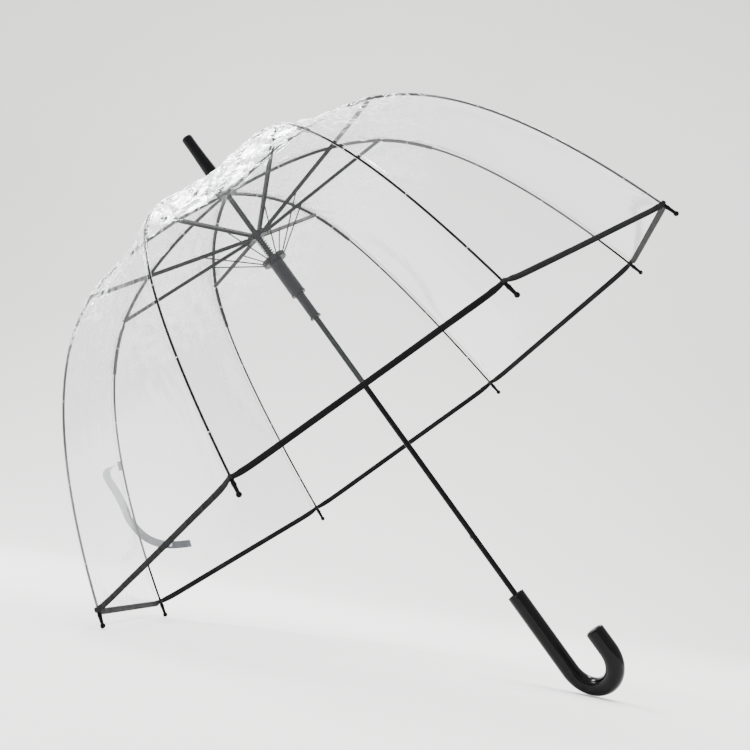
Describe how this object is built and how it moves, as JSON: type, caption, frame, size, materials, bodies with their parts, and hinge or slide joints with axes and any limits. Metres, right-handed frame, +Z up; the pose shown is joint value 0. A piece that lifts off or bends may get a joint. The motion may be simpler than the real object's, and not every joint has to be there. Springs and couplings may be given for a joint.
{
  "type": "clear dome umbrella",
  "caption": "Open straight umbrella with a deep clear dome canopy on curved black ribs, black hem tape, a spring-opened runner and a black crook handle.",
  "frame": {"origin": "middle of the straight grip of the handle, on the shaft's axis", "axes": "+Z up the shaft towards the ferrule; +X towards the open side of the crook; +Y completes a right-handed frame"},
  "size_m": [0.7728, 0.7728, 0.8415],
  "materials": {
    "black_metal": "black painted steel, satin",
    "handle_plastic": "gloss black plastic",
    "hub_plastic": "satin black plastic",
    "spring_steel": "blackened spring steel",
    "collar": "translucent grey plastic",
    "film": "clear film, glossy, faintly blue",
    "strap_film": "translucent slate film",
    "tape": "black woven binding tape"
  },
  "bodies": {
    "shaft": {"shaft_tube": "black_metal", "handle": "handle_plastic", "ferrule": "handle_plastic", "top_collar": "collar", "crown": "hub_plastic"},
    "catch": {"bottom_catch": "spring_steel"},
    "rib_0": {"rib_upper_0": "black_metal"},
    "rib_1": {"rib_upper_1": "black_metal"},
    "rib_2": {"rib_upper_2": "black_metal"},
    "rib_3": {"rib_upper_3": "black_metal"},
    "rib_4": {"rib_upper_4": "black_metal"},
    "rib_5": {"rib_upper_5": "black_metal"},
    "rib_6": {"rib_upper_6": "black_metal"},
    "rib_7": {"rib_upper_7": "black_metal"},
    "lower_0": {"rib_lower_0": "black_metal"},
    "lower_1": {"rib_lower_1": "black_metal"},
    "lower_2": {"rib_lower_2": "black_metal"},
    "lower_3": {"rib_lower_3": "black_metal"},
    "lower_4": {"rib_lower_4": "black_metal", "closing_strap": "strap_film", "strap_snap": "spring_steel"},
    "lower_5": {"rib_lower_5": "black_metal"},
    "lower_6": {"rib_lower_6": "black_metal"},
    "lower_7": {"rib_lower_7": "black_metal"},
    "strut_0": {"stretcher_0": "black_metal"},
    "strut_1": {"stretcher_1": "black_metal"},
    "strut_2": {"stretcher_2": "black_metal"},
    "strut_3": {"stretcher_3": "black_metal"},
    "strut_4": {"stretcher_4": "black_metal"},
    "strut_5": {"stretcher_5": "black_metal"},
    "strut_6": {"stretcher_6": "black_metal"},
    "strut_7": {"stretcher_7": "black_metal"},
    "wire_0": {"link_0": "black_metal"},
    "wire_1": {"link_1": "black_metal"},
    "wire_2": {"link_2": "black_metal"},
    "wire_3": {"link_3": "black_metal"},
    "wire_4": {"link_4": "black_metal"},
    "wire_5": {"link_5": "black_metal"},
    "wire_6": {"link_6": "black_metal"},
    "wire_7": {"link_7": "black_metal"},
    "hub": {"upper_hub": "hub_plastic", "opening_spring": "spring_steel"},
    "runner": {"runner": "hub_plastic"},
    "gore_0": {"gore_0": "film"},
    "gore_1": {"gore_1": "film"},
    "gore_2": {"gore_2": "film"},
    "gore_3": {"gore_3": "film"},
    "gore_4": {"gore_4": "film"},
    "gore_5": {"gore_5": "film"},
    "gore_6": {"gore_6": "film"},
    "gore_7": {"gore_7": "film"},
    "hem_0": {"hem_tape_0": "tape"},
    "hem_1": {"hem_tape_1": "tape"},
    "hem_2": {"hem_tape_2": "tape"},
    "hem_3": {"hem_tape_3": "tape"},
    "hem_4": {"hem_tape_4": "tape"},
    "hem_5": {"hem_tape_5": "tape"},
    "hem_6": {"hem_tape_6": "tape"},
    "hem_7": {"hem_tape_7": "tape"}
  },
  "joints": [
    {"name": "frame_fold", "type": "hinge", "parent": "shaft", "child": "rib_0", "pos_m": [0.00924, 0.00383, 0.655], "axis": [-0.3827, 0.9239, 0], "range_deg": [0, 78.77], "stiffness_Nm_per_rad": 0.6, "springref_deg": -171.89},
    {"name": "rib_fold_1", "type": "hinge", "parent": "shaft", "child": "rib_1", "pos_m": [0.00383, 0.00924, 0.655], "axis": [-0.9239, 0.3827, 0], "range_deg": [0, 78.78]},
    {"name": "rib_fold_2", "type": "hinge", "parent": "shaft", "child": "rib_2", "pos_m": [-0.00383, 0.00924, 0.655], "axis": [-0.9239, -0.3827, 0], "range_deg": [0, 78.78]},
    {"name": "rib_fold_3", "type": "hinge", "parent": "shaft", "child": "rib_3", "pos_m": [-0.00924, 0.00383, 0.655], "axis": [-0.3827, -0.9239, 0], "range_deg": [0, 78.78]},
    {"name": "rib_fold_4", "type": "hinge", "parent": "shaft", "child": "rib_4", "pos_m": [-0.00924, -0.00383, 0.655], "axis": [0.3827, -0.9239, 0], "range_deg": [0, 78.78]},
    {"name": "rib_fold_5", "type": "hinge", "parent": "shaft", "child": "rib_5", "pos_m": [-0.00383, -0.00924, 0.655], "axis": [0.9239, -0.3827, 0], "range_deg": [0, 78.78]},
    {"name": "rib_fold_6", "type": "hinge", "parent": "shaft", "child": "rib_6", "pos_m": [0.00383, -0.00924, 0.655], "axis": [0.9239, 0.3827, 0], "range_deg": [0, 78.78]},
    {"name": "rib_fold_7", "type": "hinge", "parent": "shaft", "child": "rib_7", "pos_m": [0.00924, -0.00383, 0.655], "axis": [0.3827, 0.9239, 0], "range_deg": [0, 78.78]},
    {"name": "rib_flex_0", "type": "hinge", "parent": "rib_0", "child": "lower_0", "pos_m": [0.20076, 0.08316, 0.622], "axis": [-0.3827, 0.9239, 0], "range_deg": [-50.25, 0]},
    {"name": "rib_flex_1", "type": "hinge", "parent": "rib_1", "child": "lower_1", "pos_m": [0.08316, 0.20076, 0.622], "axis": [-0.9239, 0.3827, 0], "range_deg": [-50.25, 0]},
    {"name": "rib_flex_2", "type": "hinge", "parent": "rib_2", "child": "lower_2", "pos_m": [-0.08316, 0.20076, 0.622], "axis": [-0.9239, -0.3827, 0], "range_deg": [-50.25, 0]},
    {"name": "rib_flex_3", "type": "hinge", "parent": "rib_3", "child": "lower_3", "pos_m": [-0.20076, 0.08316, 0.622], "axis": [-0.3827, -0.9239, 0], "range_deg": [-50.25, 0]},
    {"name": "rib_flex_4", "type": "hinge", "parent": "rib_4", "child": "lower_4", "pos_m": [-0.20076, -0.08316, 0.622], "axis": [0.3827, -0.9239, 0], "range_deg": [-50.25, 0]},
    {"name": "rib_flex_5", "type": "hinge", "parent": "rib_5", "child": "lower_5", "pos_m": [-0.08316, -0.20076, 0.622], "axis": [0.9239, -0.3827, 0], "range_deg": [-50.25, 0]},
    {"name": "rib_flex_6", "type": "hinge", "parent": "rib_6", "child": "lower_6", "pos_m": [0.08316, -0.20076, 0.622], "axis": [0.9239, 0.3827, 0], "range_deg": [-50.25, 0]},
    {"name": "rib_flex_7", "type": "hinge", "parent": "rib_7", "child": "lower_7", "pos_m": [0.20076, -0.08316, 0.622], "axis": [0.3827, 0.9239, 0], "range_deg": [-50.25, 0]},
    {"name": "strut_swing_0", "type": "hinge", "parent": "rib_0", "child": "strut_0", "pos_m": [0.20076, 0.08316, 0.622], "axis": [-0.3827, 0.9239, 0], "range_deg": [-157.56, 0]},
    {"name": "strut_swing_1", "type": "hinge", "parent": "rib_1", "child": "strut_1", "pos_m": [0.08316, 0.20076, 0.622], "axis": [-0.9239, 0.3827, 0], "range_deg": [-157.56, 0]},
    {"name": "strut_swing_2", "type": "hinge", "parent": "rib_2", "child": "strut_2", "pos_m": [-0.08316, 0.20076, 0.622], "axis": [-0.9239, -0.3827, 0], "range_deg": [-157.56, 0]},
    {"name": "strut_swing_3", "type": "hinge", "parent": "rib_3", "child": "strut_3", "pos_m": [-0.20076, 0.08316, 0.622], "axis": [-0.3827, -0.9239, 0], "range_deg": [-157.56, 0]},
    {"name": "strut_swing_4", "type": "hinge", "parent": "rib_4", "child": "strut_4", "pos_m": [-0.20076, -0.08316, 0.622], "axis": [0.3827, -0.9239, 0], "range_deg": [-157.56, 0]},
    {"name": "strut_swing_5", "type": "hinge", "parent": "rib_5", "child": "strut_5", "pos_m": [-0.08316, -0.20076, 0.622], "axis": [0.9239, -0.3827, 0], "range_deg": [-157.56, 0]},
    {"name": "strut_swing_6", "type": "hinge", "parent": "rib_6", "child": "strut_6", "pos_m": [0.08316, -0.20076, 0.622], "axis": [0.9239, 0.3827, 0], "range_deg": [-157.56, 0]},
    {"name": "strut_swing_7", "type": "hinge", "parent": "rib_7", "child": "strut_7", "pos_m": [0.20076, -0.08316, 0.622], "axis": [0.3827, 0.9239, 0], "range_deg": [-157.56, 0]},
    {"name": "link_swing_0", "type": "hinge", "parent": "strut_0", "child": "wire_0", "pos_m": [0.07083, 0.02934, 0.59961], "axis": [-0.3827, 0.9239, 0], "range_deg": [0, 25.15]},
    {"name": "link_swing_1", "type": "hinge", "parent": "strut_1", "child": "wire_1", "pos_m": [0.02934, 0.07083, 0.59961], "axis": [-0.9239, 0.3827, 0], "range_deg": [0, 25.15]},
    {"name": "link_swing_2", "type": "hinge", "parent": "strut_2", "child": "wire_2", "pos_m": [-0.02934, 0.07083, 0.59961], "axis": [-0.9239, -0.3827, 0], "range_deg": [0, 25.15]},
    {"name": "link_swing_3", "type": "hinge", "parent": "strut_3", "child": "wire_3", "pos_m": [-0.07083, 0.02934, 0.59961], "axis": [-0.3827, -0.9239, 0], "range_deg": [0, 25.15]},
    {"name": "link_swing_4", "type": "hinge", "parent": "strut_4", "child": "wire_4", "pos_m": [-0.07083, -0.02934, 0.59961], "axis": [0.3827, -0.9239, 0], "range_deg": [0, 25.15]},
    {"name": "link_swing_5", "type": "hinge", "parent": "strut_5", "child": "wire_5", "pos_m": [-0.02934, -0.07083, 0.59961], "axis": [0.9239, -0.3827, 0], "range_deg": [0, 25.15]},
    {"name": "link_swing_6", "type": "hinge", "parent": "strut_6", "child": "wire_6", "pos_m": [0.02934, -0.07083, 0.59961], "axis": [0.9239, 0.3827, 0], "range_deg": [0, 25.15]},
    {"name": "link_swing_7", "type": "hinge", "parent": "strut_7", "child": "wire_7", "pos_m": [0.07083, -0.02934, 0.59961], "axis": [0.3827, 0.9239, 0], "range_deg": [0, 25.15]},
    {"name": "hub_swing", "type": "hinge", "parent": "strut_0", "child": "hub", "pos_m": [0.00924, 0.00383, 0.589], "axis": [-0.3827, 0.9239, 0], "range_deg": [0, 78.79]},
    {"name": "runner_slide", "type": "slide", "parent": "hub", "child": "runner", "axis": [0, 0, 1], "range_m": [0, 0.0253], "deforming": ["opening_spring"]},
    {"name": "gore_fold_0", "type": "hinge", "parent": "shaft", "child": "gore_0", "pos_m": [0.00924, 0, 0.655], "axis": [0, 1, 0], "range_deg": [0, 78.78], "deforming": ["gore_0"]},
    {"name": "gore_fold_1", "type": "hinge", "parent": "shaft", "child": "gore_1", "pos_m": [0.00653, 0.00653, 0.655], "axis": [-0.7071, 0.7071, 0], "range_deg": [0, 78.78], "deforming": ["gore_1"]},
    {"name": "gore_fold_2", "type": "hinge", "parent": "shaft", "child": "gore_2", "pos_m": [0, 0.00924, 0.655], "axis": [-1, 0, 0], "range_deg": [0, 78.78], "deforming": ["gore_2"]},
    {"name": "gore_fold_3", "type": "hinge", "parent": "shaft", "child": "gore_3", "pos_m": [-0.00653, 0.00653, 0.655], "axis": [-0.7071, -0.7071, 0], "range_deg": [0, 78.78], "deforming": ["gore_3"]},
    {"name": "gore_fold_4", "type": "hinge", "parent": "shaft", "child": "gore_4", "pos_m": [-0.00924, 0, 0.655], "axis": [0, -1, 0], "range_deg": [0, 78.78], "deforming": ["gore_4"]},
    {"name": "gore_fold_5", "type": "hinge", "parent": "shaft", "child": "gore_5", "pos_m": [-0.00653, -0.00653, 0.655], "axis": [0.7071, -0.7071, 0], "range_deg": [0, 78.78], "deforming": ["gore_5"]},
    {"name": "gore_fold_6", "type": "hinge", "parent": "shaft", "child": "gore_6", "pos_m": [0, -0.00924, 0.655], "axis": [1, 0, 0], "range_deg": [0, 78.78], "deforming": ["gore_6"]},
    {"name": "gore_fold_7", "type": "hinge", "parent": "shaft", "child": "gore_7", "pos_m": [0.00653, -0.00653, 0.655], "axis": [0.7071, 0.7071, 0], "range_deg": [0, 78.78], "deforming": ["gore_7"]},
    {"name": "hem_flex_0", "type": "hinge", "parent": "gore_0", "child": "hem_0", "pos_m": [0.20076, 0, 0.622], "axis": [0, 1, 0], "range_deg": [-50.25, 0], "deforming": ["hem_tape_0"]},
    {"name": "hem_flex_1", "type": "hinge", "parent": "gore_1", "child": "hem_1", "pos_m": [0.14196, 0.14196, 0.622], "axis": [-0.7071, 0.7071, 0], "range_deg": [-50.25, 0], "deforming": ["hem_tape_1"]},
    {"name": "hem_flex_2", "type": "hinge", "parent": "gore_2", "child": "hem_2", "pos_m": [0, 0.20076, 0.622], "axis": [-1, 0, 0], "range_deg": [-50.25, 0], "deforming": ["hem_tape_2"]},
    {"name": "hem_flex_3", "type": "hinge", "parent": "gore_3", "child": "hem_3", "pos_m": [-0.14196, 0.14196, 0.622], "axis": [-0.7071, -0.7071, 0], "range_deg": [-50.25, 0], "deforming": ["hem_tape_3"]},
    {"name": "hem_flex_4", "type": "hinge", "parent": "gore_4", "child": "hem_4", "pos_m": [-0.20076, 0, 0.622], "axis": [0, -1, 0], "range_deg": [-50.25, 0], "deforming": ["hem_tape_4"]},
    {"name": "hem_flex_5", "type": "hinge", "parent": "gore_5", "child": "hem_5", "pos_m": [-0.14196, -0.14196, 0.622], "axis": [0.7071, -0.7071, 0], "range_deg": [-50.25, 0], "deforming": ["hem_tape_5"]},
    {"name": "hem_flex_6", "type": "hinge", "parent": "gore_6", "child": "hem_6", "pos_m": [0, -0.20076, 0.622], "axis": [1, 0, 0], "range_deg": [-50.25, 0], "deforming": ["hem_tape_6"]},
    {"name": "hem_flex_7", "type": "hinge", "parent": "gore_7", "child": "hem_7", "pos_m": [0.14196, -0.14196, 0.622], "axis": [0.7071, 0.7071, 0], "range_deg": [-50.25, 0], "deforming": ["hem_tape_7"]},
    {"name": "catch_press", "type": "slide", "parent": "shaft", "child": "catch", "axis": [1, 0, 0], "range_m": [0, 0.0024], "stiffness_N_per_m": 500}
  ],
  "couplings": [
    {"joint": "rib_fold_1", "follows": "frame_fold", "ratio": 1},
    {"joint": "rib_fold_2", "follows": "frame_fold", "ratio": 1},
    {"joint": "rib_fold_3", "follows": "frame_fold", "ratio": 1},
    {"joint": "rib_fold_4", "follows": "frame_fold", "ratio": 1},
    {"joint": "rib_fold_5", "follows": "frame_fold", "ratio": 1},
    {"joint": "rib_fold_6", "follows": "frame_fold", "ratio": 1},
    {"joint": "rib_fold_7", "follows": "frame_fold", "ratio": 1},
    {"joint": "rib_flex_0", "follows": "frame_fold", "ratio": -0.63772},
    {"joint": "rib_flex_1", "follows": "frame_fold", "ratio": -0.63772},
    {"joint": "rib_flex_2", "follows": "frame_fold", "ratio": -0.63772},
    {"joint": "rib_flex_3", "follows": "frame_fold", "ratio": -0.63772},
    {"joint": "rib_flex_4", "follows": "frame_fold", "ratio": -0.63772},
    {"joint": "rib_flex_5", "follows": "frame_fold", "ratio": -0.63772},
    {"joint": "rib_flex_6", "follows": "frame_fold", "ratio": -0.63772},
    {"joint": "rib_flex_7", "follows": "frame_fold", "ratio": -0.63772},
    {"joint": "strut_swing_0", "follows": "frame_fold", "ratio": -2},
    {"joint": "strut_swing_1", "follows": "frame_fold", "ratio": -2},
    {"joint": "strut_swing_2", "follows": "frame_fold", "ratio": -2},
    {"joint": "strut_swing_3", "follows": "frame_fold", "ratio": -2},
    {"joint": "strut_swing_4", "follows": "frame_fold", "ratio": -2},
    {"joint": "strut_swing_5", "follows": "frame_fold", "ratio": -2},
    {"joint": "strut_swing_6", "follows": "frame_fold", "ratio": -2},
    {"joint": "strut_swing_7", "follows": "frame_fold", "ratio": -2},
    {"joint": "link_swing_0", "follows": "frame_fold", "ratio": 0.31913},
    {"joint": "link_swing_1", "follows": "frame_fold", "ratio": 0.31913},
    {"joint": "link_swing_2", "follows": "frame_fold", "ratio": 0.31913},
    {"joint": "link_swing_3", "follows": "frame_fold", "ratio": 0.31913},
    {"joint": "link_swing_4", "follows": "frame_fold", "ratio": 0.31913},
    {"joint": "link_swing_5", "follows": "frame_fold", "ratio": 0.31913},
    {"joint": "link_swing_6", "follows": "frame_fold", "ratio": 0.31913},
    {"joint": "link_swing_7", "follows": "frame_fold", "ratio": 0.31913},
    {"joint": "hub_swing", "follows": "frame_fold", "ratio": 1},
    {"joint": "runner_slide", "follows": "frame_fold", "m_per_rad": 0.018388},
    {"joint": "gore_fold_0", "follows": "frame_fold", "ratio": 1},
    {"joint": "gore_fold_1", "follows": "frame_fold", "ratio": 1},
    {"joint": "gore_fold_2", "follows": "frame_fold", "ratio": 1},
    {"joint": "gore_fold_3", "follows": "frame_fold", "ratio": 1},
    {"joint": "gore_fold_4", "follows": "frame_fold", "ratio": 1},
    {"joint": "gore_fold_5", "follows": "frame_fold", "ratio": 1},
    {"joint": "gore_fold_6", "follows": "frame_fold", "ratio": 1},
    {"joint": "gore_fold_7", "follows": "frame_fold", "ratio": 1},
    {"joint": "hem_flex_0", "follows": "frame_fold", "ratio": -0.63772},
    {"joint": "hem_flex_1", "follows": "frame_fold", "ratio": -0.63772},
    {"joint": "hem_flex_2", "follows": "frame_fold", "ratio": -0.63772},
    {"joint": "hem_flex_3", "follows": "frame_fold", "ratio": -0.63772},
    {"joint": "hem_flex_4", "follows": "frame_fold", "ratio": -0.63772},
    {"joint": "hem_flex_5", "follows": "frame_fold", "ratio": -0.63772},
    {"joint": "hem_flex_6", "follows": "frame_fold", "ratio": -0.63772},
    {"joint": "hem_flex_7", "follows": "frame_fold", "ratio": -0.63772}
  ]
}
